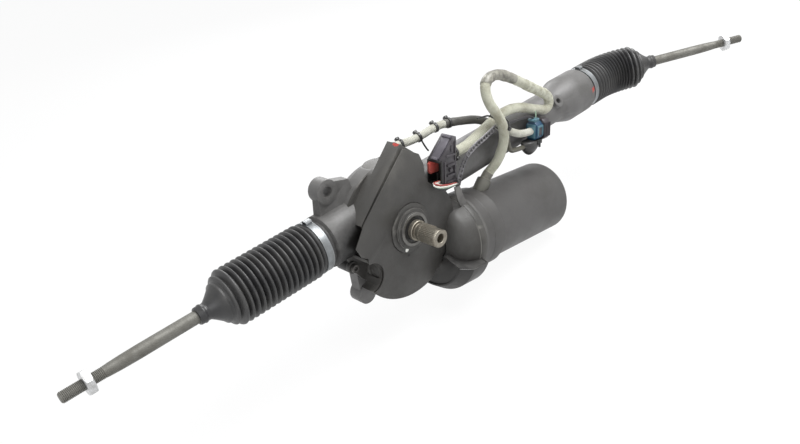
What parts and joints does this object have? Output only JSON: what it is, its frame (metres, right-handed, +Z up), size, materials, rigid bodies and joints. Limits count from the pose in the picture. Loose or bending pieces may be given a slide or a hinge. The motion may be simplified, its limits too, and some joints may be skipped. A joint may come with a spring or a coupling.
{
  "type": "steering rack",
  "caption": "Electric power steering rack: tube housing, pinion box with worm gear and motor, boots and ball-jointed tie rods.",
  "frame": {"origin": "centre of the upper mounting lug's bolt hole, by which the housing is held to a vehicle's subframe", "axes": "+X along the rack towards its plain end, +Z up, the column shaft points to -Y"},
  "size_m": [1.0996, 0.1811, 0.2723],
  "materials": {
    "bearing_steel": "polished",
    "black_plastic": "satin",
    "boot_rubber": "matte",
    "casting_paint": "satin",
    "column_steel": "dull",
    "connector_blue": "satin",
    "connector_violet": "satin",
    "dark_steel": "blackened",
    "insert_red": "satin",
    "motor_core": "matte",
    "motor_paint": "satin",
    "rack_steel": "ground",
    "rod_steel": "dull",
    "seal_rubber": "matte",
    "seat_plastic": "matte",
    "sleeve_fabric": "woven",
    "wheel_plastic": "matte",
    "zinc": "bright zinc"
  },
  "bodies": {
    "housing": {"rear_housing": "casting_paint", "front_casting": "casting_paint", "front_shield": "casting_paint", "case_screws": "dark_steel", "rack_bush": "seat_plastic", "yoke": "rack_steel", "yoke_spring": "rack_steel", "yoke_plug": "casting_paint", "yoke_locknut": "casting_paint", "front_bearing": "bearing_steel", "needle_bearing": "bearing_steel", "dust_cap": "seal_rubber", "input_seal": "seal_rubber", "torque_sensor": "black_plastic", "worm_bearing_outer": "bearing_steel", "worm_bearing_inner": "bearing_steel", "worm_plug": "casting_paint", "motor_flange": "motor_paint", "motor_can": "motor_paint", "motor_stator": "motor_core", "motor_bearing_front": "bearing_steel", "motor_bearing_rear": "bearing_steel", "cable_outlet": "seal_rubber", "neck_shroud": "black_plastic", "boot_near": "boot_rubber", "boot_far": "boot_rubber", "clamp_near": "zinc", "clamp_far": "zinc", "main_connector": "connector_violet", "connector_insert": "insert_red", "side_connector": "connector_blue", "side_latch": "connector_blue", "mating_connector": "black_plastic", "hanging_connector": "black_plastic", "loop_cable": "sleeve_fabric", "sensor_cable": "sleeve_fabric", "shield_post_1": "casting_paint", "shield_post_2": "casting_paint", "shield_post_3": "casting_paint"},
    "rack": {"rack_bar": "rack_steel", "ball_housing_near": "rod_steel", "ball_housing_far": "rod_steel", "lock_washer_near": "zinc", "lock_washer_far": "zinc"},
    "pinion": {"pinion_shaft": "rack_steel", "worm_wheel": "wheel_plastic", "wheel_hub": "rack_steel"},
    "input": {"input_shaft": "column_steel", "torsion_bar": "rack_steel", "sensor_ring": "motor_core"},
    "worm": {"worm_shaft": "rack_steel", "coupling": "rack_steel", "rotor_shaft": "rack_steel", "rotor": "motor_core"},
    "seat_near": {"ball_seat_near": "seat_plastic"},
    "seat_far": {"ball_seat_far": "seat_plastic"},
    "rod_near": {"tie_rod_near": "rod_steel", "jam_nut_near": "zinc"},
    "rod_far": {"tie_rod_far": "rod_steel", "jam_nut_far": "zinc"}
  },
  "joints": [
    {"name": "motor_spin", "type": "hinge", "parent": "housing", "child": "worm", "pos_m": [0.07265, -0.0286, -0.12297], "axis": [0.9877, 0, -0.1564], "range_deg": [-8136.7, 8136.7]},
    {"name": "pinion_turn", "type": "hinge", "parent": "housing", "child": "pinion", "pos_m": [0.08, -0.004, -0.07655], "axis": [0, 1, 0], "range_deg": [-428.25, 428.25]},
    {"name": "rack_travel", "type": "slide", "parent": "housing", "child": "rack", "axis": [1, 0, 0], "range_m": [-0.065, 0.065], "deforming": ["boot_near", "boot_far"]},
    {"name": "torsion_twist", "type": "hinge", "parent": "pinion", "child": "input", "pos_m": [0.08, -0.004, -0.07655], "axis": [0, 1, 0], "range_deg": [-4.5, 4.5], "stiffness_Nm_per_rad": 2},
    {"name": "near_swing", "type": "hinge", "parent": "rack", "child": "seat_near", "pos_m": [-0.103, -0.004, -0.057], "axis": [0, 0, 1], "range_deg": [-40, 40]},
    {"name": "near_lift", "type": "hinge", "parent": "seat_near", "child": "rod_near", "pos_m": [-0.103, -0.004, -0.057], "axis": [0, 1, 0], "range_deg": [-16, 16]},
    {"name": "far_swing", "type": "hinge", "parent": "rack", "child": "seat_far", "pos_m": [0.583, -0.004, -0.057], "axis": [0, 0, 1], "range_deg": [-2, 78]},
    {"name": "far_lift", "type": "hinge", "parent": "seat_far", "child": "rod_far", "pos_m": [0.583, -0.004, -0.057], "axis": [-0.6157, -0.788, 0], "range_deg": [-20, 12]}
  ],
  "couplings": [
    {"joint": "pinion_turn", "follows": "motor_spin", "ratio": 0.052632},
    {"joint": "rack_travel", "follows": "motor_spin", "m_per_rad": 0.0004577}
  ]
}
